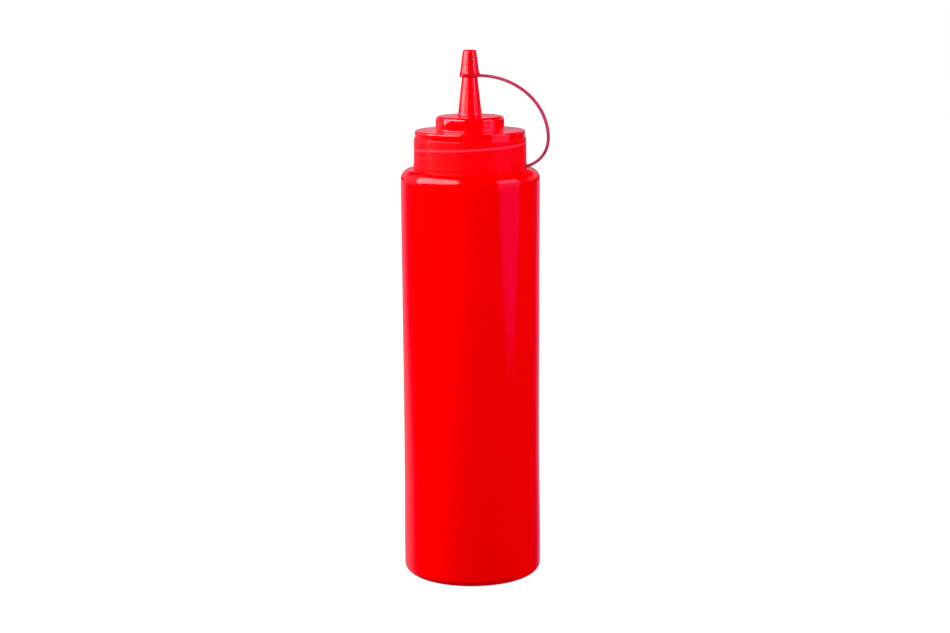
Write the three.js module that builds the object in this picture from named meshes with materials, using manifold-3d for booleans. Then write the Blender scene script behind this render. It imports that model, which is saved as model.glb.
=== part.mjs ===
// A squeeze bottle for sauces, in millimetres with +Z up and the origin at the centre of the base.
// A tall round bottle carries a screw closure, which steps up to a tapered nozzle. A small cap shuts
// the nozzle, and a strap ties it to a ring round the neck. The strap lies in the XZ plane, towards +X.
import * as THREE from "three";
import { mergeVertices } from "three/addons/utils/BufferGeometryUtils.js";
import Module from "manifold-3d";

// Bottle
const BODY_RADIUS = 35;
const SHOULDER_HEIGHT = 209.7;
const BASE_FILLET = 4.2;
const SHOULDER_FILLET = 5.4;
const NECK_RADIUS = 25.4;
const NECK_HEIGHT = 16.3;
const NECK_FILLET = 0.6;

// The blown wall is not quite straight: each swell has a height, a spread and a change of radius
const WALL_SWELLS = [
  { height: 14, spread: 22, change: 0.28 },
  { height: 85, spread: 38, change: -0.13 },
  { height: 195, spread: 25, change: 0.14 },
];
const WALL_FROM = 14;
const WALL_TO = 195;
const WALL_STEPS = 8;

// Closure, with heights above its lower rim
const CLOSURE_LIFT = 211.9;
const COLLAR_RADIUS = 28.4;
const COLLAR_DRAFT = 0.2;
const COLLAR_STEP_HEIGHT = 13.1;
const BAND_RADIUS = 27.7;
const COLLAR_HEIGHT = 16.9;
const COLLAR_TOP_FILLET = 0.9;
const TIER_RADIUS = 17.2;
const TIER_DRAFT = 0.15;
const TIER_HEIGHT = 24;
const TIER_FILLET = 1.8;
const NOZZLE_FOOT_RADIUS = 6.06;
const NOZZLE_TAPER = 0.113;
const NOZZLE_HEIGHT = 54.1;
const MOULD_EDGE = 0.3;
const INNER_FILLET = 0.7;

// Tip cap, with heights above the closure's lower rim
const CAP_RIM_HEIGHT = 43.3;
const CAP_HEIGHT = 56.85;
const CAP_CEILING = 55.5;
const CAP_FOOT_RADIUS = 4.75;
const CAP_TOP_RADIUS = 3.35;
const CAP_TOP_FILLET = 1.2;
const BEAD_RADIUS = 5.05;
const BEAD_HEIGHT = 1.9;
const BEAD_FILLET = 0.6;

// Ring round the neck
const RING_RADIUS = 28.6;
const RING_TOP = -0.3;
const RING_THICKNESS = 1.55;
const RING_FILLET = 0.45;

// Strap: flat section, rise of its start above the cap's rim, widest reach from the axis, and the lengths
// of its curves' handles
const STRAP_WIDTH = 2.6;
const STRAP_THICKNESS = 1.5;
const STRAP_FILLET = 0.35;
const STRAP_START_RISE = 0.8;
const STRAP_REACH = 39.9;
const STRAP_REACH_HEIGHT = 13.4;
const STRAP_TOP_HANDLE = 20.3;
const STRAP_UPPER_HANDLE = 16.3;
const STRAP_LOWER_HANDLE = 7.6;
const STRAP_END_HANDLE = 7.5;
const STRAP_END_RADIUS = 27.6;
const STRAP_END_DROP = 0.15;
const STRAP_END_SLOPE = THREE.MathUtils.degToRad(12.5);
const STRAP_STEPS = 44;

// Clearance between pieces that fit over each other
const CLEARANCE = 0.35;
const WIDE_SIDES = 60;
const NARROW_SIDES = 32;

const wasm = await Module();
wasm.setup();

const bottlePlastic = new THREE.MeshStandardMaterial({
  color: 0xe60008,
  roughness: 0.42,
  metalness: 0,
});
const closurePlastic = new THREE.MeshStandardMaterial({
  color: 0xe8101c,
  roughness: 0.28,
  metalness: 0,
});

// Rounds the corners of a profile. A corner is [distance from the axis, height, fillet], and the arc of
// its fillet touches the two edges that meet there.
function filleted(corners) {
  const places = corners.map(([radius, height]) => new THREE.Vector2(radius, height));
  return corners.flatMap(([, , fillet = 0], i) => {
    const corner = places[i];
    if (fillet === 0) return [corner];
    const back = places[i - 1].clone().sub(corner).normalize();
    const onward = places[i + 1].clone().sub(corner).normalize();
    const half = Math.acos(back.dot(onward)) / 2;
    const inward = back.clone().add(onward).normalize();
    const centre = corner.clone().addScaledVector(inward, fillet / Math.sin(half));
    const start = corner.clone().addScaledVector(back, fillet / Math.tan(half)).sub(centre);
    const turn = Math.sign(onward.cross(back)) * (Math.PI - 2 * half);
    const steps = Math.ceil(2.5 * Math.sqrt(fillet));
    return Array.from({ length: steps + 1 }, (_, k) =>
      start.clone().rotateAround(new THREE.Vector2(), (turn * k) / steps).add(centre),
    );
  });
}

// Turns a profile about the Z axis. It runs up the outside, from the axis or a hollow to the top.
function turned(corners, sides) {
  return new THREE.LatheGeometry(filleted(corners), sides).rotateX(Math.PI / 2);
}

// A closed geometry as a solid, with the vertices that its faces share merged.
function solidOf(geometry) {
  geometry.deleteAttribute("normal");
  geometry.deleteAttribute("uv");
  const merged = mergeVertices(geometry);
  const vertProperties = merged.getAttribute("position").array;
  const triVerts = new Uint32Array(merged.index.array);
  return new wasm.Manifold(new wasm.Mesh({ numProp: 3, vertProperties, triVerts }));
}

// Several closed geometries that overlap, joined into one.
function joined(geometries) {
  const { vertProperties, triVerts } = geometries
    .map(solidOf)
    .reduce((whole, piece) => whole.add(piece))
    .getMesh();
  return new THREE.BufferGeometry()
    .setAttribute("position", new THREE.BufferAttribute(vertProperties, 3))
    .setIndex(new THREE.BufferAttribute(triVerts, 1));
}

function named(name, geometry, material) {
  const mesh = new THREE.Mesh(geometry, material);
  mesh.name = name;
  return mesh;
}

// Radius of the bottle's wall at a height: the plain radius with the three soft swells.
function wallRadius(z) {
  const swell = ({ height, spread, change }) => change * Math.exp(-(((z - height) / spread) ** 2));
  return WALL_SWELLS.reduce((radius, part) => radius + swell(part), BODY_RADIUS);
}

// Radius of the nozzle's cone at a height above the closure's rim.
function nozzleRadius(height) {
  return NOZZLE_FOOT_RADIUS - NOZZLE_TAPER * (height - TIER_HEIGHT);
}

// The bottle is shut, so it is solid: flat base, wall, round shoulder and plain neck.
function makeBottle() {
  const neckTop = SHOULDER_HEIGHT + NECK_HEIGHT;
  const wall = Array.from({ length: WALL_STEPS + 1 }, (_, i) => {
    const z = THREE.MathUtils.lerp(WALL_FROM, WALL_TO, i / WALL_STEPS);
    return [wallRadius(z), z];
  });
  const profile = [
    [0, 0],
    [wallRadius(0), 0, BASE_FILLET],
    ...wall,
    [wallRadius(SHOULDER_HEIGHT), SHOULDER_HEIGHT, SHOULDER_FILLET],
    [NECK_RADIUS, SHOULDER_HEIGHT],
    [NECK_RADIUS, neckTop, NECK_FILLET],
    [0, neckTop],
  ];
  return named("bottle", turned(profile, WIDE_SIDES), bottlePlastic);
}

// One moulding: a collar that hangs over the neck, a band, a tier and the nozzle.
function makeClosure() {
  const recessRadius = NECK_RADIUS + CLEARANCE;
  const recessCeiling = SHOULDER_HEIGHT + NECK_HEIGHT + CLEARANCE - CLOSURE_LIFT;
  const profile = [
    [0, recessCeiling],
    [recessRadius, recessCeiling],
    [recessRadius, 0],
    [COLLAR_RADIUS, 0, MOULD_EDGE],
    [COLLAR_RADIUS - COLLAR_DRAFT, COLLAR_STEP_HEIGHT, MOULD_EDGE],
    [BAND_RADIUS, COLLAR_STEP_HEIGHT],
    [BAND_RADIUS, COLLAR_HEIGHT, COLLAR_TOP_FILLET],
    [TIER_RADIUS, COLLAR_HEIGHT, INNER_FILLET],
    [TIER_RADIUS - TIER_DRAFT, TIER_HEIGHT, TIER_FILLET],
    [NOZZLE_FOOT_RADIUS, TIER_HEIGHT, INNER_FILLET],
    [nozzleRadius(NOZZLE_HEIGHT), NOZZLE_HEIGHT, MOULD_EDGE],
    [0, NOZZLE_HEIGHT],
  ];
  return named("closure", turned(profile, WIDE_SIDES), closurePlastic);
}

// The hollow cap over the nozzle, with a bead round its rim.
function capShell() {
  const beadTop = CAP_RIM_HEIGHT + BEAD_HEIGHT;
  return turned(
    [
      [0, CAP_CEILING],
      [nozzleRadius(CAP_CEILING) + CLEARANCE, CAP_CEILING],
      [nozzleRadius(CAP_RIM_HEIGHT) + CLEARANCE, CAP_RIM_HEIGHT],
      [BEAD_RADIUS, CAP_RIM_HEIGHT, BEAD_FILLET],
      [BEAD_RADIUS, beadTop, BEAD_FILLET],
      [CAP_FOOT_RADIUS, beadTop + BEAD_FILLET],
      [CAP_TOP_RADIUS, CAP_HEIGHT, CAP_TOP_FILLET],
      [0, CAP_HEIGHT],
    ],
    NARROW_SIDES,
  );
}

// The flat ring between the shoulder and the collar.
function neckRing() {
  const inner = NECK_RADIUS + CLEARANCE;
  const bottom = RING_TOP - RING_THICKNESS;
  const middle = RING_TOP - RING_THICKNESS / 2;
  const profile = [
    [inner, middle],
    [inner, bottom, RING_FILLET],
    [RING_RADIUS, bottom, RING_FILLET],
    [RING_RADIUS, RING_TOP, RING_FILLET],
    [inner, RING_TOP, RING_FILLET],
    [inner, middle],
  ];
  return turned(profile, WIDE_SIDES);
}

// A rectangle with round corners, about the origin.
function roundedRectangle(width, height, radius) {
  const x = width / 2 - radius;
  const y = height / 2 - radius;
  const quarter = Math.PI / 2;
  return new THREE.Shape()
    .absarc(x, y, radius, 0, quarter)
    .absarc(-x, y, radius, quarter, 2 * quarter)
    .absarc(-x, -y, radius, 2 * quarter, 3 * quarter)
    .absarc(x, -y, radius, 3 * quarter, 4 * quarter);
}

// The strap leaves the bead level, turns down at its reach and comes into the ring on a slope.
function capStrap() {
  const at = (x, z) => new THREE.Vector3(x, 0, z);
  const startHeight = CAP_RIM_HEIGHT + STRAP_START_RISE;
  const startRadius = (nozzleRadius(startHeight) + CLEARANCE + BEAD_RADIUS) / 2;
  const endHeight = RING_TOP - RING_THICKNESS / 2 - STRAP_END_DROP;
  const reach = at(STRAP_REACH, STRAP_REACH_HEIGHT);
  const route = new THREE.CurvePath();
  route.add(
    new THREE.CubicBezierCurve3(
      at(startRadius, startHeight),
      at(startRadius + STRAP_TOP_HANDLE, startHeight),
      at(STRAP_REACH, STRAP_REACH_HEIGHT + STRAP_UPPER_HANDLE),
      reach,
    ),
  );
  route.add(
    new THREE.CubicBezierCurve3(
      reach,
      at(STRAP_REACH, STRAP_REACH_HEIGHT - STRAP_LOWER_HANDLE),
      at(
        STRAP_END_RADIUS + STRAP_END_HANDLE * Math.cos(STRAP_END_SLOPE),
        endHeight + STRAP_END_HANDLE * Math.sin(STRAP_END_SLOPE),
      ),
      at(STRAP_END_RADIUS, endHeight),
    ),
  );
  const section = roundedRectangle(STRAP_WIDTH, STRAP_THICKNESS, STRAP_FILLET);
  return new THREE.ExtrudeGeometry(section, {
    steps: STRAP_STEPS,
    curveSegments: 1,
    extrudePath: route,
  });
}

// Cap, strap and ring are one moulding.
function makeTipCap() {
  return named("tip_cap", joined([capShell(), neckRing(), capStrap()]), closurePlastic);
}

const fitment = new THREE.Group();
fitment.position.z = CLOSURE_LIFT;
fitment.add(makeClosure(), makeTipCap());

const squeezeBottle = new THREE.Group();
squeezeBottle.add(makeBottle(), fitment);

export default squeezeBottle;
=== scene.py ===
"""Looks of a red squeeze bottle for sauce: the blown bottle, its screw closure and its tied tip cap.

Sizes are in millimetres until a surface becomes a mesh, which is in metres. The bottle's axis is Z,
and the cap's strap lies in the XZ plane towards +X.
"""

import logging
import math
from dataclasses import dataclass, replace
from enum import Enum
from typing import Callable, Optional, Sequence, Union

import bpy
import numpy as np
from mathutils import Matrix, Quaternion, Vector


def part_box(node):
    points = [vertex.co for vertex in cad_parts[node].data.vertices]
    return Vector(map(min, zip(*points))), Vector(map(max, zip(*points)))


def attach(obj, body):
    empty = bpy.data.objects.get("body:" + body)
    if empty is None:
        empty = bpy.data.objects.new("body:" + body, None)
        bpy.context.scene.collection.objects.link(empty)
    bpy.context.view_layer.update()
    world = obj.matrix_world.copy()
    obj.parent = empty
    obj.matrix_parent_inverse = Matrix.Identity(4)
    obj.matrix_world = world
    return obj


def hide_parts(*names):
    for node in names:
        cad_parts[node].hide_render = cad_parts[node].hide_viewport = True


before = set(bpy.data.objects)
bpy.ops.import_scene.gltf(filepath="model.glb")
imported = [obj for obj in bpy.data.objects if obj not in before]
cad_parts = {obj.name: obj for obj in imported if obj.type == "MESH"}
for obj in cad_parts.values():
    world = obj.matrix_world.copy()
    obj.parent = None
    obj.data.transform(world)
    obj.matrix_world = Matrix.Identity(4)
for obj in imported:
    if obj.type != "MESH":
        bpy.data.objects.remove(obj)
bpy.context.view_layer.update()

MM = 0.001
ROOT_BODY = "root"
PHOTO_AZIMUTH = math.radians(12.0)
FULL_TURN = 2.0 * math.pi
SKIN = ("painted_light_share", "matt")
ON_AXIS = 1e-6
ARC_STEPS = 6
ARC_STEPS_BY_ROOT = 3.0
MIX_FIRST, MIX_SECOND, MIX_RESULT = 6, 7, 2

log = logging.getLogger("squeeze_bottle")

Change = tuple[np.ndarray, np.ndarray, np.ndarray]
Relief = Callable[[np.ndarray, np.ndarray, np.ndarray], Change]
Colour = tuple[float, float, float]

WHITE: Colour = (1.0, 1.0, 1.0)
PINK: Colour = (1.0, 0.02, 0.72)
WARM: Colour = (0.4, 0.26, 0.06)
ROSE: Colour = (1.0, 0.55, 1.0)


class Slot(Enum):
    """The record's material slots."""

    BOTTLE = "bottle_plastic"
    CLOSURE = "closure_plastic"


class LampUse(Enum):
    """What a lamp lights."""

    FULL = "everything"
    BOUNCE = "matt light only"
    CARD = "reflections only"


class LampShape(Enum):
    """Outlines of the studio's soft lamps."""

    PANEL = "RECTANGLE"
    OCTABOX = "DISK"


def node_box(node: str) -> tuple[np.ndarray, np.ndarray]:
    """Lowest and highest corner of a solid, in millimetres.

    Args:
        node: Name of the solid.

    Returns:
        The two corners.
    """
    low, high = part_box(node)
    return np.array(low) / MM, np.array(high) / MM


@dataclass(frozen=True)
class Corner:
    """A corner of a profile: distance from the axis, height, fillet, and spacing of the run after it."""

    radius: float
    height: float
    fillet: float = 0.0
    spacing: float = 1.5


@dataclass
class Surface:
    """Vertices in millimetres, the four-sided and three-sided faces between them, and their skin.

    The skin has two columns: the painted-light share, which is the share of a finish's second colour
    that paints a highlight on the closure and shade on the strap, and the share of its matt places.
    """

    vertices: np.ndarray
    quads: np.ndarray
    triangles: np.ndarray
    skin: np.ndarray

    def joined(self, other: "Surface") -> "Surface":
        """This surface and another one as one.

        Args:
            other: The surface to add.

        Returns:
            A surface that holds the faces of both.
        """
        shift = len(self.vertices)
        return Surface(
            np.concatenate([self.vertices, other.vertices]),
            np.concatenate([self.quads, other.quads + shift]),
            np.concatenate([self.triangles, other.triangles + shift]),
            np.concatenate([self.skin, other.skin]),
        )

    def mesh(self, name: str) -> bpy.types.Mesh:
        """The surface as a smooth mesh in metres.

        Args:
            name: Name of the mesh.

        Returns:
            The new mesh.
        """
        made = bpy.data.meshes.new(name)
        faces = self.quads.tolist() + self.triangles.tolist()
        made.from_pydata((self.vertices * MM).tolist(), [], faces)
        made.polygons.foreach_set("use_smooth", np.ones(len(faces), dtype=bool))
        for kind, share in zip(SKIN, self.skin.T):
            made.attributes.new(kind, "FLOAT", "POINT").data.foreach_set("value", share.copy())
        made.update()
        return made


def fillet_arc(before: np.ndarray, at: Corner, after: np.ndarray) -> np.ndarray:
    """The round of a corner: an arc of the fillet's radius that touches both edges.

    The arc's centre lies on the bisector of the edges, at the radius divided by the sine of half
    their angle. A larger fillet has more steps, by the square root of its radius.

    Args:
        before: Place of the corner before.
        at: The corner itself.
        after: Place of the corner after.

    Returns:
        Points of the arc, or the bare corner where it has no fillet.
    """
    place = np.array([at.radius, at.height])
    if at.fillet == 0.0:
        return place[None, :]
    back = (before - place) / np.linalg.norm(before - place)
    onward = (after - place) / np.linalg.norm(after - place)
    half = math.acos(float(back @ onward)) / 2.0
    inward = (back + onward) / np.linalg.norm(back + onward)
    centre = place + inward * at.fillet / math.sin(half)
    start = place + back * at.fillet / math.tan(half) - centre
    turn = math.copysign(math.pi - 2.0 * half, onward[0] * back[1] - onward[1] * back[0])
    steps = ARC_STEPS + int(ARC_STEPS_BY_ROOT * math.sqrt(at.fillet))
    angle = np.linspace(0.0, turn, steps + 1)
    across = np.array([-start[1], start[0]])
    return centre + np.cos(angle)[:, None] * start + np.sin(angle)[:, None] * across


def traced(corners: Sequence[Corner]) -> np.ndarray:
    """A profile's points: fillets as arcs, and straight runs split at each corner's spacing.

    Args:
        corners: The profile's corners in order.

    Returns:
        Points as rows of distance from the axis and height.
    """
    places = np.array([[c.radius, c.height] for c in corners])
    rounds = [
        fillet_arc(places[max(i - 1, 0)], c, places[min(i + 1, len(corners) - 1)])
        for i, c in enumerate(corners)
    ]
    pieces = [rounds[0]]
    for corner, here, there in zip(corners, rounds, rounds[1:]):
        run = np.linalg.norm(there[0] - here[-1])
        share = np.linspace(0.0, 1.0, max(int(run / corner.spacing), 1) + 1)[1:-1, None]
        pieces += [here[-1] + share * (there[0] - here[-1]), there]
    return np.concatenate(pieces)


def even_angles(columns: int) -> np.ndarray:
    """Angles of a full turn at even steps, without the last one, which is the first again."""
    return np.linspace(0.0, FULL_TURN, columns, endpoint=False)


def band_faces(rows: int, columns: int, closed: bool) -> np.ndarray:
    """Four-sided faces of a grid whose columns go all the way round.

    Args:
        rows: Number of rows.
        columns: Number of columns.
        closed: Whether the last row joins the first.

    Returns:
        Vertex numbers of each face, turned so that it faces out.
    """
    i, j = np.meshgrid(np.arange(rows if closed else rows - 1), np.arange(columns), indexing="ij")
    up, on = (i + 1) % rows, (j + 1) % columns
    corners = [i * columns + j, i * columns + on, up * columns + on, up * columns + j]
    return np.stack(corners, axis=-1).reshape(-1, 4)


def fan_faces(pole: int, ring: np.ndarray) -> np.ndarray:
    """Three-sided faces between a pole and the ring of vertices round it, in the ring's order."""
    return np.stack([np.full(len(ring), pole), ring, np.roll(ring, -1)], axis=1)


def turned(profile: np.ndarray, angles: np.ndarray, relief: Optional[Relief] = None) -> Surface:
    """Turns a profile about Z: x is r cos a, y is r sin a and z is the height.

    A profile that starts and ends on the axis gets a pole at each end, which the relief moves too.
    Any other one closes on itself. It runs up the outside, so that its faces point out.

    Args:
        profile: Rows of distance from the axis and height.
        angles: Angles of the columns.
        relief: Changes of distance and height, and skin, at angle, distance and height, if any.

    Returns:
        The closed surface.
    """
    poles = profile[0, 0] < ON_AXIS
    body = profile[1:-1] if poles else profile[:-1]
    a, r = np.meshgrid(angles, body[:, 0])
    z = np.broadcast_to(body[:, 1:], r.shape)
    skin = np.zeros((*r.shape, len(SKIN)))
    if relief is not None:
        change_r, change_z, skin = relief(a, r, z)
        r, z = r + change_r, z + change_z
    grid = np.stack([r * np.cos(a), r * np.sin(a), z], axis=-1).reshape(-1, 3)
    rows, columns = len(body), len(angles)
    quads = band_faces(rows, columns, closed=not poles)
    skin = skin.reshape(-1, len(SKIN))
    if not poles:
        return Surface(grid, quads, np.empty((0, 3), dtype=int), skin)
    ends = np.zeros((2, 3))
    ends[:, 2] = profile[[0, -1], 1]
    if relief is not None:
        ends[:, 2] += relief(np.zeros(2), np.zeros(2), ends[:, 2])[1]
    first, last = np.arange(columns), np.arange(columns) + (rows - 1) * columns
    fans = [fan_faces(len(grid), first[::-1]), fan_faces(len(grid) + 1, last)]
    skin = np.concatenate([skin, np.zeros((2, len(SKIN)))])
    return Surface(np.concatenate([grid, ends]), quads, np.concatenate(fans), skin)


def bump_curve(distance: np.ndarray, spread: float) -> np.ndarray:
    """A smooth bump of height 1: the exponential of minus the square of distance over spread."""
    return np.exp(-((distance / spread) ** 2))


def smooth_step(value: np.ndarray, low: float, high: float) -> np.ndarray:
    """Rises from 0 at low to 1 at high as 3t squared minus 2t cubed."""
    t = np.clip((value - low) / (high - low), 0.0, 1.0)
    return t * t * (3.0 - 2.0 * t)


@dataclass(frozen=True)
class Value:
    """A number that varies over a surface. Its arithmetic adds Math nodes."""

    nodes: "Nodes"
    socket: bpy.types.NodeSocket

    def __add__(self, other: "Number") -> "Value":
        """Sum."""
        return self.nodes.math("ADD", self, other)

    __radd__ = __add__

    def __sub__(self, other: "Number") -> "Value":
        """Difference."""
        return self.nodes.math("SUBTRACT", self, other)

    def __rsub__(self, other: "Number") -> "Value":
        """Difference with the value last."""
        return self.nodes.math("SUBTRACT", other, self)

    def __mul__(self, other: "Number") -> "Value":
        """Product."""
        return self.nodes.math("MULTIPLY", self, other)

    __rmul__ = __mul__

    def between(self, low: float, high: float) -> "Value":
        """0 below low and 1 above high, with a smooth rise."""
        node = self.nodes.make(
            "ShaderNodeMapRange",
            {"interpolation_type": "SMOOTHSTEP"},
            {"Value": self, "From Min": low, "From Max": high},
        )
        return Value(self.nodes, node.outputs["Result"])


Number = Union[Value, float]
Tint = Union[Colour, bpy.types.NodeSocket]


@dataclass
class Nodes:
    """A node tree that is being filled."""

    tree: bpy.types.NodeTree

    def make(self, kind: str, settings: dict, inputs: dict) -> bpy.types.Node:
        """Adds a node.

        Args:
            kind: The node's type.
            settings: Its own settings, which are set first.
            inputs: Numbers, colours, values or sockets by socket name or number.

        Returns:
            The new node.
        """
        node = self.tree.nodes.new(kind)
        for name, setting in settings.items():
            setattr(node, name, setting)
        for name, given in inputs.items():
            source = given.socket if isinstance(given, Value) else given
            if isinstance(source, bpy.types.NodeSocket):
                self.tree.links.new(source, node.inputs[name])
            else:
                node.inputs[name].default_value = source
        return node

    def math(self, operation: str, first: Number, second: Number) -> Value:
        """A Math node on two numbers.

        Args:
            operation: The node's operation.
            first: First number or value.
            second: Second number or value.

        Returns:
            The result.
        """
        node = self.make("ShaderNodeMath", {"operation": operation}, {0: first, 1: second})
        return Value(self, node.outputs[0])

    def noise(self, scale: float, stretch: Colour = (1.0, 1.0, 1.0), detail: float = 3.0) -> Value:
        """Noise on the piece's own coordinates.

        Args:
            scale: Number of blotches in a metre.
            stretch: Factors on the three axes.
            detail: Octaves of finer noise.

        Returns:
            The noise, about 0.5 on average.
        """
        place = self.make("ShaderNodeTexCoord", {}, {})
        mapped = self.make(
            "ShaderNodeMapping", {}, {"Vector": place.outputs["Object"], "Scale": stretch}
        )
        node = self.make(
            "ShaderNodeTexNoise",
            {},
            {"Vector": mapped.outputs["Vector"], "Scale": scale, "Detail": detail},
        )
        return Value(self, node.outputs[0])

    def along(self, direction: bpy.types.NodeSocket, axis: Colour) -> Value:
        """Share of a direction along an axis: their dot product."""
        node = self.make("ShaderNodeVectorMath", {"operation": "DOT_PRODUCT"}, {0: direction, 1: axis})
        return Value(self, node.outputs["Value"])

    def attribute(self, name: str) -> Value:
        """A number that the mesh holds at each vertex."""
        return Value(self, self.make("ShaderNodeAttribute", {"attribute_name": name}, {}).outputs["Fac"])

    def mix(self, share: Value, first: Tint, second: Tint) -> bpy.types.NodeSocket:
        """A colour between two others.

        Args:
            share: 0 for the first colour and 1 for the second.
            first: First colour or its socket.
            second: Second colour or its socket.

        Returns:
            The colour's socket.
        """
        ends = {
            number: tint if isinstance(tint, bpy.types.NodeSocket) else (*tint, 1.0)
            for number, tint in ((MIX_FIRST, first), (MIX_SECOND, second))
        }
        node = self.make("ShaderNodeMix", {"data_type": "RGBA"}, {"Factor": share, **ends})
        return node.outputs[MIX_RESULT]


@dataclass(frozen=True)
class SoftPlastic:
    """Red polyethylene: two close colours, a third for painted highlight and shade, gloss, skin texture
    and scuffs.

    Matt places have their own red, are rougher than the rest and mirror less.
    """

    name: str
    colour: Colour
    shade: Colour
    # A colour of painted light: a pale painted highlight on the closure's thread trace, a dark painted
    # shade on the strap.
    painted_light_colour: Colour
    roughness: float
    specular: float
    tint: Colour
    skin_scale: float
    skin_depth: float
    scuff_share: float
    matt_colour: Colour = (0.87, 0.0, 0.002)
    matt_roughness: float = 0.3
    matt_specular: float = 0.18
    drift_scale: float = 28.0
    drift_from: float = 0.3
    drift_to: float = 0.7
    blotch_scale: float = 140.0
    blotch_share: float = 0.06
    scuff_scale: float = 260.0
    scuff_stretch: Colour = (1.0, 1.0, 0.06)
    scuff_from: float = 0.66
    scuff_to: float = 0.78

    def material(self) -> bpy.types.Material:
        """The finish as a material.

        Colour drifts softly between two reds and goes to the third, which paints a highlight on the
        closure and shade on the strap, by the surface's painted-light share. The skin is a fine orange
        peel with long faint scuffs, which are rougher than the rest.

        Returns:
            The new material.
        """
        made = bpy.data.materials.new(self.name)
        made.use_nodes = True
        made.node_tree.nodes.clear()
        nodes = Nodes(made.node_tree)
        drift = nodes.noise(self.drift_scale).between(self.drift_from, self.drift_to)
        blotch = nodes.noise(self.blotch_scale)
        skin = nodes.noise(self.skin_scale, detail=2.0)
        streaks = nodes.noise(self.scuff_scale, stretch=self.scuff_stretch, detail=4.0)
        scuffs = streaks.between(self.scuff_from, self.scuff_to)
        # The tone attribute is each point's share of the colour of painted highlight and shade.
        painted_light_share, matt = (nodes.attribute(kind) for kind in SKIN)
        smoothest = self.roughness - self.blotch_share / 2.0
        roughness = blotch * self.blotch_share + smoothest + scuffs * self.scuff_share
        plain = nodes.mix(drift, self.colour, self.shade)
        bump = nodes.make(
            "ShaderNodeBump", {}, {"Height": skin, "Strength": 1.0, "Distance": self.skin_depth * MM}
        )
        skins = [
            nodes.make(
                "ShaderNodeBsdfPrincipled",
                {},
                {
                    "Base Color": nodes.mix(painted_light_share, red, self.painted_light_colour),
                    "Roughness": rough,
                    "Specular IOR Level": specular,
                    "Specular Tint": (*self.tint, 1.0),
                    "Normal": bump.outputs["Normal"],
                },
            ).outputs[0]
            for red, rough, specular in (
                (plain, roughness, self.specular),
                (self.matt_colour, self.matt_roughness, self.matt_specular),
            )
        ]
        both = nodes.make("ShaderNodeMixShader", {}, {0: matt, 1: skins[0], 2: skins[1]})
        nodes.make("ShaderNodeOutputMaterial", {}, {"Surface": both.outputs[0]})
        return made


def place_piece(name: str, surface: Surface, finish: SoftPlastic, node: str) -> None:
    """Adds a surface to the scene as the piece that stands for a solid.

    Args:
        name: Name of the piece.
        surface: Its surface.
        finish: Its finish.
        node: The solid that it stands for.
    """
    piece = bpy.data.objects.new(name, surface.mesh(name))
    bpy.context.scene.collection.objects.link(piece)
    piece.data.materials.append(finish.material())
    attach(piece, ROOT_BODY)
    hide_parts(node)
    log.info("%s: %d vertices, stands for %s", name, len(surface.vertices), node)


@dataclass(frozen=True)
class Swell:
    """A soft change of the blown wall's radius at a height."""

    height: float
    spread: float
    change: float


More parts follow.
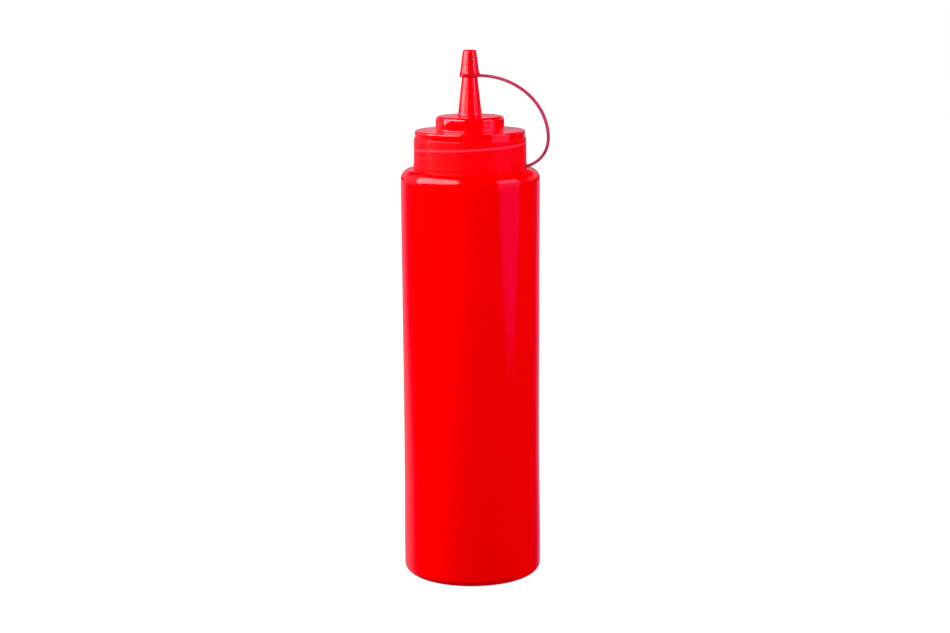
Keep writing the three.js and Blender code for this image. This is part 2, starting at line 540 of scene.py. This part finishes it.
@dataclass
class Bottle:
    """The blown bottle: dished base with its pinched seam, wall, shoulder and neck."""

    radius: float = 35.0
    shoulder_height: float = 209.7
    base_fillet: float = 4.2
    shoulder_fillet: float = 5.4
    neck_radius: float = 25.4
    neck_fillet: float = 0.6
    neck_foot_fillet: float = 0.5
    foot_radius: float = 27.0
    foot_fillet: float = 0.8
    dish_radius: float = 24.0
    dish_fillet: float = 1.0
    dish_height: float = 1.3
    middle_radius: float = 3.0
    middle_spacing: float = 0.35
    seam_angle: float = PHOTO_AZIMUTH + math.radians(9.0)
    seam_height: float = 0.05
    seam_spread: float = 0.3
    pinch_height: float = 0.3
    pinch_spread: float = 0.45
    pinch_end: float = 1.5
    wave_height: float = 0.05
    wave_lobes: float = 3.0
    wave_twist: float = 0.021
    wave_pitch: float = 0.045
    wave_start: float = 0.7
    neck_still: float = 2.0
    edge_still: float = 0.5
    base_still: float = 3.0
    columns: int = 224
    seam_columns: int = 17
    seam_reach: float = 3.0
    swells: tuple[Swell, ...] = (
        Swell(14.0, 22.0, 0.28),
        Swell(85.0, 38.0, -0.13),
        Swell(195.0, 25.0, 0.14),
    )
    finish: SoftPlastic = SoftPlastic(
        name="bottle_polyethylene",
        colour=(0.86, 0.0, 0.0),
        shade=(0.84, 0.0, 0.0),
        painted_light_colour=(0.86, 0.0, 0.0),
        roughness=0.12,
        specular=0.45,
        tint=(1.0, 0.8, 0.9),
        skin_scale=700.0,
        skin_depth=0.006,
        scuff_share=0.05,
    )

    def profile(self) -> np.ndarray:
        """The profile from the middle of the dish, round the foot, up the wall and over the neck."""
        neck_top = node_box("bottle")[1][2]
        return traced(
            [
                Corner(0.0, self.dish_height, spacing=self.middle_spacing),
                Corner(self.middle_radius, self.dish_height),
                Corner(self.dish_radius, self.dish_height, self.dish_fillet, spacing=0.5),
                Corner(self.foot_radius, 0.0, self.foot_fillet, spacing=0.6),
                Corner(self.radius, 0.0, self.base_fillet),
                Corner(self.radius, self.shoulder_height, self.shoulder_fillet, spacing=0.7),
                Corner(self.neck_radius, self.shoulder_height, self.neck_foot_fillet),
                Corner(self.neck_radius, neck_top, self.neck_fillet, spacing=4.0),
                Corner(0.0, neck_top),
            ]
        )

    def angles(self) -> np.ndarray:
        """Even angles all round, with close ones beside the two mould seams."""
        half = self.seam_reach * self.seam_spread / self.radius
        beside = np.linspace(-1.0, 1.0, self.seam_columns) * half
        seams = self.seam_angle + np.concatenate([beside, beside + math.pi])
        return np.unique(np.concatenate([even_angles(self.columns), seams % FULL_TURN]).round(9))

    def relief(self, a: np.ndarray, r: np.ndarray, z: np.ndarray) -> Change:
        """Swells, waves and seams of the blown wall.

        The wall's radius gains the sum of the swells' bumps, less a slow wave of a few lobes, and a
        fine ridge at the two seams. The foot and the neck stay as they are. The seam's pinched end
        crosses the dish as a low ridge.

        Args:
            a: Angles.
            r: Distances from the axis.
            z: Heights.

        Returns:
            Changes of distance and of height, and a plain skin.
        """
        wall = smooth_step(r, self.neck_radius + self.neck_still, self.radius - self.edge_still)
        wall *= smooth_step(z, 0.0, self.base_still)
        blown = sum(s.change * bump_curve(z - s.height, s.spread) for s in self.swells)
        lobes = np.sin(self.wave_lobes * a + self.wave_twist * z)
        wave = (lobes * np.sin(self.wave_pitch * z + self.wave_start) - 1.0) * self.wave_height
        across = r * np.sin(a - self.seam_angle)
        ridge = self.seam_height * bump_curve(across, self.seam_spread)
        in_dish = smooth_step(-r, -self.dish_radius, self.pinch_end - self.dish_radius)
        below = z < self.dish_height + self.pinch_height
        pinch = self.pinch_height * bump_curve(across, self.pinch_spread) * in_dish * below
        return wall * (blown + wave + ridge), -pinch, np.zeros((*z.shape, len(SKIN)))

    def build(self) -> None:
        """Makes the bottle's mesh and dresses it."""
        surface = turned(self.profile(), self.angles(), self.relief)
        place_piece("bottle_shell", surface, self.finish, "bottle")


@dataclass(frozen=True)
class Nozzle:
    """The closure's tapered nozzle: radius at its foot, height of the foot above the rim, and taper."""

    foot_radius: float = 6.06
    foot_height: float = 24.0
    taper: float = 0.113

    def radius(self, height: float) -> float:
        """Radius at a height above the closure's rim."""
        return self.foot_radius - self.taper * (height - self.foot_height)


MOULDED_RED = SoftPlastic(
    name="closure_polyethylene",
    colour=(0.87, 0.0, 0.002),
    shade=(0.85, 0.0, 0.001),
    # The third colour is a pale pink painted highlight along the thread's trace.
    painted_light_colour=(0.95, 0.04, 0.08),
    roughness=0.1,
    specular=0.7,
    tint=(1.0, 0.8, 0.95),
    skin_scale=900.0,
    skin_depth=0.0015,
    scuff_share=0.04,
)


CAP_RED = replace(
    MOULDED_RED,
    name="cap_polyethylene",
    colour=(0.64, 0.001, 0.004),
    shade=(0.62, 0.001, 0.003),
    # The third colour is a dark crimson painted shade for the strap.
    painted_light_colour=(0.38, 0.03, 0.074),
    specular=0.5,
)


@dataclass
class Closure:
    """The screw closure: collar over the neck, band, tier and nozzle, with the thread's faint trace
    and a painted highlight along it.

    Heights are above its rim. The trace fades at angles in radians from its start, and near the rim
    and the step.
    """

    nozzle: Nozzle = Nozzle()
    collar_radius: float = 28.4
    collar_draft: float = 0.2
    step_height: float = 13.1
    band_radius: float = 27.7
    collar_height: float = 16.9
    collar_fillet: float = 0.9
    tier_radius: float = 17.2
    tier_draft: float = 0.28
    tier_waist: float = 21.4
    waist_draft: float = 0.02
    tier_bulge: float = 25.0
    tier_fillet: float = 1.8
    inner_fillet: float = 0.7
    edge_fillet: float = 0.3
    rim_fillet: float = 0.13
    step_fillet: float = 0.12
    recess_radius: float = 25.75
    recess_height: float = 14.45
    recess_fillet: float = 0.4
    lip_fillet: float = 0.2
    columns: int = 288
    thread_lead: float = 7.6
    thread_starts: int = 2
    thread_from: float = PHOTO_AZIMUTH + math.radians(140.0)
    thread_phase: float = 6.4
    thread_height: float = 0.025
    thread_spread: float = 0.4
    thread_faint: float = 0.45
    plain_rise: float = 0.5
    plain_from: float = 3.5
    plain_to: float = 4.5
    faint_from: float = 0.9
    faint_to: float = 1.9
    fade_low: tuple[float, float] = (0.8, 2.5)
    fade_high: tuple[float, float] = (0.4, 1.6)
    wall_skin: tuple[float, float] = (0.6, 0.3)
    nozzle_matt: float = 0.3
    nozzle_skin: tuple[float, float] = (0.5, 2.0)

    def profile(self) -> np.ndarray:
        """The profile from the recess's ceiling, round the rim and up the steps to the nozzle's tip."""
        low, high = node_box("closure")
        lift, tip = low[2], high[2] - low[2]
        foot = self.nozzle.foot_height
        step_radius = self.collar_radius - self.collar_draft
        waist_radius = self.tier_radius - self.waist_draft
        points = traced(
            [
                Corner(0.0, self.recess_height, spacing=4.0),
                Corner(self.recess_radius, self.recess_height, self.recess_fillet, spacing=3.0),
                Corner(self.recess_radius, 0.0, self.lip_fillet, spacing=0.6),
                Corner(self.collar_radius, 0.0, self.rim_fillet, spacing=0.13),
                Corner(step_radius, self.step_height, self.edge_fillet, spacing=0.2),
                Corner(self.band_radius, self.step_height, self.step_fillet, spacing=0.6),
                Corner(self.band_radius, self.collar_height, self.collar_fillet, spacing=0.8),
                Corner(self.tier_radius, self.collar_height, self.inner_fillet, spacing=0.6),
                Corner(waist_radius, self.tier_waist, self.tier_bulge, spacing=0.6),
                Corner(self.tier_radius - self.tier_draft, foot, self.tier_fillet, spacing=0.8),
                Corner(self.nozzle.foot_radius, foot, self.inner_fillet, spacing=1.2),
                Corner(self.nozzle.radius(tip), tip, self.edge_fillet, spacing=0.6),
                Corner(0.0, tip),
            ]
        )
        return points + np.array([0.0, lift])

    def relief(self, a: np.ndarray, r: np.ndarray, z: np.ndarray) -> Change:
        """The trace of the thread on the collar's wall: low ridges along a helix, with a painted
        highlight.

        A point's height less the helix's rise at its angle, in units of the distance between turns,
        lies near a whole number on a ridge. The ridge at zero is plain for about half a turn, and the
        others are faint and shorter. All fade out towards the rim and the step.

        Args:
            a: Angles.
            r: Distances from the axis.
            z: Heights.

        Returns:
            Changes of distance and of height, and the skin: a painted highlight along the ridges, a matt
            wall, and a nozzle that is a little matt.
        """
        height = z - node_box("closure")[0][2]
        apart = self.thread_lead / self.thread_starts
        turn = (a - self.thread_from) % FULL_TURN
        turns = (height - self.thread_phase - self.thread_lead * turn / FULL_TURN) / apart
        off = (turns - np.round(turns)) * apart
        plain = smooth_step(turn, 0.0, self.plain_rise)
        plain *= smooth_step(-turn, -self.plain_to, -self.plain_from)
        on_wall = smooth_step(r, *(self.collar_radius - inset for inset in self.wall_skin))
        below_step = smooth_step(-height, *(fade - self.step_height for fade in self.fade_high))
        faint = self.thread_faint * smooth_step(-turn, -self.faint_to, -self.faint_from)
        strength = faint + (1.0 - faint) * plain * (np.round(turns) == 0)
        # The ridge's strength, which also paints the pale highlight along it.
        ridge_and_highlight = strength * bump_curve(off, self.thread_spread) * on_wall
        ridge_and_highlight *= smooth_step(height, *self.fade_low) * below_step
        on_nozzle = smooth_step(height, *(self.nozzle.foot_height + rise for rise in self.nozzle_skin))
        matt = on_wall + self.nozzle_matt * on_nozzle
        return self.thread_height * ridge_and_highlight, np.zeros_like(z), np.stack([ridge_and_highlight, matt], axis=-1)

    def build(self) -> None:
        """Makes the closure's mesh and dresses it."""
        surface = turned(self.profile(), even_angles(self.columns), self.relief)
        place_piece("screw_closure", surface, MOULDED_RED, "closure")


@dataclass
class TipCap:
    """The cap over the nozzle's tip, its strap, and the ring round the neck: one moulding."""

    nozzle: Nozzle = Nozzle()
    clearance: float = 0.35
    rim_height: float = 43.3
    ceiling: float = 55.5
    inner_fillet: float = 0.3
    lip_fillet: float = 0.2
    foot_radius: float = 4.75
    foot_fillet: float = 0.3
    top_radius: float = 3.35
    top_fillet: float = 1.2
    gate_radius: float = 0.7
    gate_depth: float = 0.2
    gate_taper: float = 0.8
    gate_fillet: float = 0.1
    bead_radius: float = 5.05
    bead_height: float = 1.9
    bead_fillet: float = 0.6
    ring_radius: float = 28.6
    ring_inner: float = 25.75
    ring_top: float = -0.03
    ring_thickness: float = 2.05
    ring_fillet: float = 0.45
    ring_edge: float = 0.1
    ring_lip: float = 0.22
    ring_matt: float = 1.0
    strap_width: float = 2.6
    strap_thickness: float = 1.5
    strap_edge: float = 3.0
    start_rise: float = 0.8
    reach_height: float = 13.4
    top_handle: float = 20.3
    upper_handle: float = 16.3
    lower_handle: float = 7.6
    end_handle: float = 7.5
    end_radius: float = 27.6
    end_drop: float = 0.15
    end_slope: float = math.radians(12.5)
    root_length: float = 1.5
    root_growth: float = 0.55
    # Painted shade on the strap: its share on the faces, and where it rises to full on the edges.
    painted_shade_faces: float = 0.4
    painted_shade_edges: tuple[float, float] = (0.35, 0.6)
    cap_columns: int = 96
    ring_columns: int = 240
    strap_columns: int = 40
    strap_rows: int = 100

    def cap(self, top: float) -> Surface:
        """The hollow cap, with a bead round its rim and a gate mark on its top.

        Args:
            top: Height of its top above the closure's rim.

        Returns:
            The cap's surface.
        """
        bead_top = self.rim_height + self.bead_height
        gate_foot, gate_floor = self.gate_radius * self.gate_taper, top - self.gate_depth
        ceiling_radius, rim_radius = (
            self.nozzle.radius(height) + self.clearance for height in (self.ceiling, self.rim_height)
        )
        profile = traced(
            [
                Corner(0.0, self.ceiling, spacing=0.8),
                Corner(ceiling_radius, self.ceiling, self.inner_fillet),
                Corner(rim_radius, self.rim_height, self.lip_fillet, spacing=0.3),
                Corner(self.bead_radius, self.rim_height, self.bead_fillet, spacing=0.2),
                Corner(self.bead_radius, bead_top, self.bead_fillet, spacing=0.3),
                Corner(self.foot_radius, bead_top + self.bead_fillet, self.foot_fillet, spacing=0.5),
                Corner(self.top_radius, top, self.top_fillet, spacing=0.4),
                Corner(self.gate_radius, top, self.gate_fillet, spacing=0.1),
                Corner(gate_foot, gate_floor, self.gate_fillet / 2.0, spacing=0.2),
                Corner(0.0, gate_floor),
            ]
        )
        return turned(profile, even_angles(self.cap_columns))

    def ring(self) -> Surface:
        """The flat ring round the neck, matt and with round edges."""
        bottom = self.ring_top - self.ring_thickness
        middle = self.ring_top - self.ring_thickness / 2.0
        profile = traced(
            [
                Corner(self.ring_inner, middle, spacing=0.3),
                Corner(self.ring_inner, bottom, self.ring_fillet, spacing=0.5),
                Corner(self.ring_radius, bottom, self.ring_edge, spacing=0.2),
                Corner(self.ring_radius, self.ring_top, self.ring_lip, spacing=0.5),
                Corner(self.ring_inner, self.ring_top, self.ring_fillet, spacing=0.3),
                Corner(self.ring_inner, middle),
            ]
        )
        ring = turned(profile, even_angles(self.ring_columns))
        ring.skin[:, SKIN.index("matt")] = self.ring_matt
        return ring

    def route(self, reach: float) -> np.ndarray:
        """The strap's middle line: a cubic curve out and down to its reach, and one back to the ring.

        It leaves the bead level, is upright at its reach, and comes into the ring on a slope.

        Args:
            reach: Widest distance of the line from the axis.

        Returns:
            Rows of distance from the axis and height.
        """
        start_height = self.rim_height + self.start_rise
        start = (self.nozzle.radius(start_height) + self.clearance + self.bead_radius) / 2.0
        end_height = self.ring_top - self.ring_thickness / 2.0 - self.end_drop
        turn = [reach, self.reach_height]
        out = [
            [start, start_height],
            [start + self.top_handle, start_height],
            [reach, self.reach_height + self.upper_handle],
            turn,
        ]
        back = [
            turn,
            [reach, self.reach_height - self.lower_handle],
            [
                self.end_radius + self.end_handle * math.cos(self.end_slope),
                end_height + self.end_handle * math.sin(self.end_slope),
            ],
            [self.end_radius, end_height],
        ]
        t = np.linspace(0.0, 1.0, self.strap_rows)[:, None]
        weights = np.concatenate([(1 - t) ** 3, 3 * (1 - t) ** 2 * t, 3 * (1 - t) * t**2, t**3], axis=1)
        return np.concatenate([weights @ np.array(out), (weights @ np.array(back))[1:]])

    def strap(self, reach: float) -> Surface:
        """The flat strap: a rounded oblong section carried along the route, thicker at its roots.

        The section is a superellipse, whose width and thickness are the signed powers of the cosine
        and sine of its parameter. It stands square to the route in the XZ plane. Painted shade darkens
        the strap a little on its faces and most on its two edges, and fades out at the roots.

        Args:
            reach: Widest distance of the middle line from the axis.

        Returns:
            The strap's surface.
        """
        line = self.route(reach)
        along = np.gradient(line, axis=0)
        along /= np.linalg.norm(along, axis=1)[:, None]
        steps = np.linalg.norm(np.diff(line, axis=0), axis=1)
        run = np.concatenate([[0.0], np.cumsum(steps)])
        root = bump_curve(run, self.root_length) + bump_curve(run[-1] - run, self.root_length)
        turn = even_angles(self.strap_columns)
        power = 2.0 / self.strap_edge
        across = np.sign(np.cos(turn)) * np.abs(np.cos(turn)) ** power * self.strap_width / 2.0
        thick = np.sign(np.sin(turn)) * np.abs(np.sin(turn)) ** power * self.strap_thickness / 2.0
        wide = 1.0 + self.root_growth * root[:, None]
        outward = np.stack([along[:, 1], -along[:, 0]], axis=1)
        x = line[:, :1] - outward[:, :1] * thick
        y = wide * across
        z = line[:, 1:] - outward[:, 1:] * thick
        grid = np.stack([x, y, z], axis=-1).reshape(-1, 3)
        rows, columns = len(line), len(turn)
        ends = np.stack([line[[0, -1], 0], np.zeros(2), line[[0, -1], 1]], axis=1)
        first, last = np.arange(columns), np.arange(columns) + (rows - 1) * columns
        fans = [fan_faces(len(grid), first[::-1]), fan_faces(len(grid) + 1, last)]
        # Painted shade: a little on the strap's faces, most on its two edges, none at its roots.
        edge_shade = smooth_step(np.abs(np.cos(turn)), *self.painted_shade_edges)
        edge_shade = self.painted_shade_faces + (1.0 - self.painted_shade_faces) * edge_shade
        painted_light_share = (1.0 - np.clip(root, 0.0, 1.0))[:, None] * edge_shade
        skin = np.stack([np.append(painted_light_share, [0.0, 0.0]), np.zeros(len(grid) + 2)], axis=1)
        return Surface(
            np.concatenate([grid, ends]),
            band_faces(rows, columns, closed=False),
            np.concatenate(fans),
            skin,
        )

    def build(self) -> None:
        """Makes the moulding's mesh and dresses it."""
        high = node_box("tip_cap")[1]
        lift = node_box("closure")[0][2]
        reach = high[0] - self.strap_thickness / 2.0
        surface = self.cap(high[2] - lift).joined(self.ring()).joined(self.strap(reach))
        surface.vertices[:, 2] += lift
        place_piece("tip_cap_with_strap", surface, CAP_RED, "tip_cap")


@dataclass(frozen=True)
class SoftLamp:
    """A soft lamp, placed by its angle from the camera's side, its distance and its height in metres.

    A bounce lamp doesn't show in reflections, and a card shows in them only.
    """

    name: str
    shape: LampShape
    angle: float
    distance: float
    height: float
    width: float
    tall: float
    radiance: float
    aim: float
    use: LampUse = LampUse.FULL
    roll: float = 0.0
    colour: Colour = WHITE

    def build(self) -> None:
        """Adds the lamp, aimed at a height on the bottle's axis and rolled about its own."""
        lamp = bpy.data.lights.new(self.name, "AREA")
        lamp.shape = self.shape.value
        lamp.size = self.width
        lamp.size_y = self.tall
        area = self.width * self.tall * (1.0 if self.shape is LampShape.PANEL else math.pi / 4.0)
        lamp.energy = self.radiance * math.pi * area
        lamp.color = self.colour
        lamp.cycles.use_multiple_importance_sampling = self.use is not LampUse.BOUNCE
        turn = PHOTO_AZIMUTH - math.pi / 2.0 + math.radians(self.angle)
        place = Vector((math.cos(turn) * self.distance, math.sin(turn) * self.distance, self.height))
        holder = bpy.data.objects.new(self.name, lamp)
        holder.location = place
        facing = (Vector((0.0, 0.0, self.aim)) - place).to_track_quat("-Z", "Y")
        rolled = facing @ Quaternion((0.0, 0.0, 1.0), math.radians(self.roll))
        holder.rotation_euler = rolled.to_euler()
        holder.visible_camera = False
        holder.visible_glossy = self.use is not LampUse.BOUNCE
        holder.visible_diffuse = self.use is not LampUse.CARD
        bpy.context.scene.collection.objects.link(holder)
        log.info("%s: %.2f m away", self.name, self.distance)


@dataclass
class Studio:
    """White floor and background, dim surroundings with a pale wall behind, lamps and the camera."""

    floor_size: float = 8.0
    floor_near: float = 0.955
    floor_colour: float = 0.1
    shade_from: float = 0.05
    shade_to: float = 0.35
    dim: float = 0.01
    wall: float = 0.45
    wall_tint: Colour = (1.0, 0.72, 0.93)
    edge_tint: Colour = (1.0, 0.03, 0.93)
    edge_from: float = 0.35
    edge_to: float = 0.95
    wall_turn: float = math.radians(5.0)
    wall_from: float = 0.5
    wall_to: float = 0.95
    wall_widening: float = 0.5
    wall_top: float = 0.25
    wall_fade: float = 0.2
    table_widening: float = 0.22
    table_near: float = 0.17
    table_nearer: float = 0.27
    gap_from: float = -0.085
    gap_to: float = 0.04
    gap_blur: float = 0.02
    gap_left: float = 0.45
    left_blur: float = 0.15
    lens: float = 75.4
    sensor: float = 36.0
    camera_distance: float = 1.0
    camera_height: float = 0.317
    camera_aside: float = 0.00197
    pitch: float = math.radians(10.4)
    roll: float = math.radians(-0.33)
    lamps: tuple[SoftLamp, ...] = (
        SoftLamp(
            "key_softbox", LampShape.PANEL, angle=-62.7, distance=0.8, height=0.831,
            width=1.38, tall=0.94, radiance=6.6, aim=0.831, roll=18.0,
        ),
        SoftLamp(
            "fill_octabox", LampShape.OCTABOX, angle=67.0, distance=0.8, height=0.312,
            width=0.7, tall=0.7, radiance=1.05, aim=0.312, colour=PINK,
        ),
        SoftLamp(
            "band_card", LampShape.PANEL, angle=67.0, distance=0.79, height=0.235,
            width=0.62, tall=0.21, radiance=1.05, aim=0.235, use=LampUse.CARD, colour=WARM,
        ),
        SoftLamp(
            "low_strip", LampShape.PANEL, angle=-43.0, distance=0.8, height=0.41,
            width=0.55, tall=0.16, radiance=2.1, aim=0.41,
        ),
        SoftLamp(
            "high_card", LampShape.PANEL, angle=67.0, distance=0.8, height=0.56,
            width=0.55, tall=0.45, radiance=1.45, aim=0.56, colour=ROSE,
        ),
        SoftLamp(
            "tip_card", LampShape.PANEL, angle=67.0, distance=0.79, height=0.56,
            width=0.55, tall=0.45, radiance=1.6, aim=0.56, use=LampUse.CARD, colour=ROSE,
        ),
        SoftLamp(
            "front_bounce", LampShape.PANEL, angle=10.0, distance=1.6, height=0.85,
            width=2.4, tall=1.6, radiance=0.58, aim=0.15, use=LampUse.BOUNCE,
        ),
        SoftLamp(
            "ceiling_bounce", LampShape.PANEL, angle=0.0, distance=0.05, height=1.4,
            width=1.0, tall=1.0, radiance=2.0, aim=0.2, use=LampUse.BOUNCE,
        ),
        SoftLamp(
            "side_bounce", LampShape.PANEL, angle=84.0, distance=0.9, height=0.5,
            width=0.8, tall=0.8, radiance=3.8, aim=0.25, use=LampUse.BOUNCE,
        ),
        SoftLamp(
            "back_bounce", LampShape.PANEL, angle=180.0, distance=1.2, height=0.3,
            width=1.2, tall=0.8, radiance=2.2, aim=0.15, use=LampUse.BOUNCE,
        ),
        SoftLamp(
            "table_bounce", LampShape.PANEL, angle=0.0, distance=0.0, height=-0.6,
            width=2.0, tall=2.0, radiance=0.8, aim=0.1, use=LampUse.BOUNCE,
        ),
    )

    def floor(self) -> None:
        """A pale floor that glows like a light table: a trace less near the bottle, which shades it.

        It shows to the camera only. The table's bounce lamp stands in for the light that it gives.
        """
        half = self.floor_size / 2.0
        mesh = bpy.data.meshes.new("floor")
        mesh.from_pydata(
            [(-half, -half, 0), (half, -half, 0), (half, half, 0), (-half, half, 0)], [], [(0, 1, 2, 3)]
        )
        material = bpy.data.materials.new("white_table")
        material.use_nodes = True
        material.cycles.emission_sampling = "NONE"
        material.node_tree.nodes.clear()
        nodes = Nodes(material.node_tree)
        place = nodes.make("ShaderNodeTexCoord", {}, {})
        away = nodes.make("ShaderNodeVectorMath", {"operation": "LENGTH"}, {0: place.outputs["Object"]})
        far = Value(nodes, away.outputs["Value"]).between(self.shade_from, self.shade_to)
        shader = nodes.make(
            "ShaderNodeBsdfPrincipled",
            {},
            {
                "Base Color": (*[self.floor_colour] * 3, 1.0),
                "Roughness": 1.0,
                "Specular IOR Level": 0.0,
                "Emission Color": nodes.mix(far, (self.floor_near,) * 3, WHITE),
                "Emission Strength": 1.0,
            },
        )
        nodes.make("ShaderNodeOutputMaterial", {}, {"Surface": shader.outputs[0]})
        mesh.materials.append(material)
        floor = bpy.data.objects.new("floor", mesh)
        floor.visible_diffuse = False
        floor.visible_glossy = False
        floor.visible_shadow = False
        bpy.context.scene.collection.objects.link(floor)

    def surroundings(self) -> None:
        """White for the camera; for the light, dim with a pale wall and table behind the bottle.

        They cover directions whose share along the way behind, a little to the left, passes a limit,
        and turn rosy towards that limit. The wall reaches further round than the table, and on the
        left so does the table's near part. A dark gap parts wall and table and the wall ends at a
        height, except on the left.
        """
        world = bpy.data.worlds.new("studio")
        world.use_nodes = True
        world.node_tree.nodes.clear()
        nodes = Nodes(world.node_tree)
        place = nodes.make("ShaderNodeTexCoord", {}, {})
        turn = PHOTO_AZIMUTH + self.wall_turn
        behind = nodes.along(place.outputs["Generated"], (-math.sin(turn), math.cos(turn), 0.0))
        leftward = nodes.along(place.outputs["Generated"], (-math.cos(turn), -math.sin(turn), 0.0))
        height = nodes.along(place.outputs["Generated"], (0.0, 0.0, 1.0))
        left = leftward.between(self.gap_left - self.left_blur, self.gap_left + self.left_blur)
        half = self.gap_blur / 2.0
        over_table = height.between(self.gap_from - half, self.gap_from + half)
        on_wall = height.between(self.gap_to - self.gap_blur, self.gap_to + self.gap_blur)
        gap = over_table * (1.0 - on_wall) * (1.0 - left)
        near_table = (height * -1.0).between(self.table_near, self.table_nearer) * left
        reach = behind + (over_table * left + on_wall * (1.0 - left)) * self.wall_widening
        reach = reach + near_table * self.table_widening
        above_wall = height.between(self.wall_top, self.wall_top + self.wall_fade) * (1.0 - left)
        shown = reach.between(self.wall_from, self.wall_to) * (1.0 - gap) * (1.0 - above_wall)
        mirrored = shown * (self.wall - self.dim) + self.dim
        light = nodes.make("ShaderNodeLightPath", {}, {})
        seen = Value(nodes, light.outputs["Is Camera Ray"])
        strength = seen * (1.0 - mirrored) + mirrored
        tint = nodes.mix(shown.between(self.edge_from, self.edge_to), self.edge_tint, self.wall_tint)
        colour = nodes.mix(seen, tint, WHITE)
        back = nodes.make("ShaderNodeBackground", {}, {"Color": colour, "Strength": strength})
        nodes.make("ShaderNodeOutputWorld", {}, {"Surface": back.outputs[0]})
        bpy.context.scene.world = world

    def camera(self) -> None:
        """The camera in front of the bottle, looking a little down and rolled by part of a degree."""
        data = bpy.data.cameras.new("camera")
        data.lens = self.lens
        data.sensor_fit = "HORIZONTAL"
        data.sensor_width = self.sensor
        right = Vector((1.0, 0.0, 0.0))
        up = Vector((0.0, math.sin(self.pitch), math.cos(self.pitch)))
        rolled_right = right * math.cos(self.roll) + up * math.sin(self.roll)
        rolled_up = up * math.cos(self.roll) - right * math.sin(self.roll)
        axes = Matrix((rolled_right, rolled_up, rolled_right.cross(rolled_up))).transposed().to_4x4()
        place = Matrix.Translation((self.camera_aside, -self.camera_distance, self.camera_height))
        holder = bpy.data.objects.new("camera", data)
        holder.matrix_world = Matrix.Rotation(PHOTO_AZIMUTH, 4, "Z") @ place @ axes
        bpy.context.scene.collection.objects.link(holder)
        bpy.context.scene.camera = holder

    def build(self) -> None:
        """Adds the camera, the floor, the surroundings and the lamps."""
        bpy.context.scene.view_settings.view_transform = "Standard"
        bpy.context.scene.view_settings.look = "None"
        self.camera()
        self.floor()
        self.surroundings()
        for lamp in self.lamps:
            lamp.build()


def main() -> None:
    """Builds the studio and the three pieces, in order."""
    logging.basicConfig(level=logging.INFO)
    Studio().build()
    Bottle().build()
    Closure().build()
    TipCap().build()


if __name__ == "__main__":
    main()
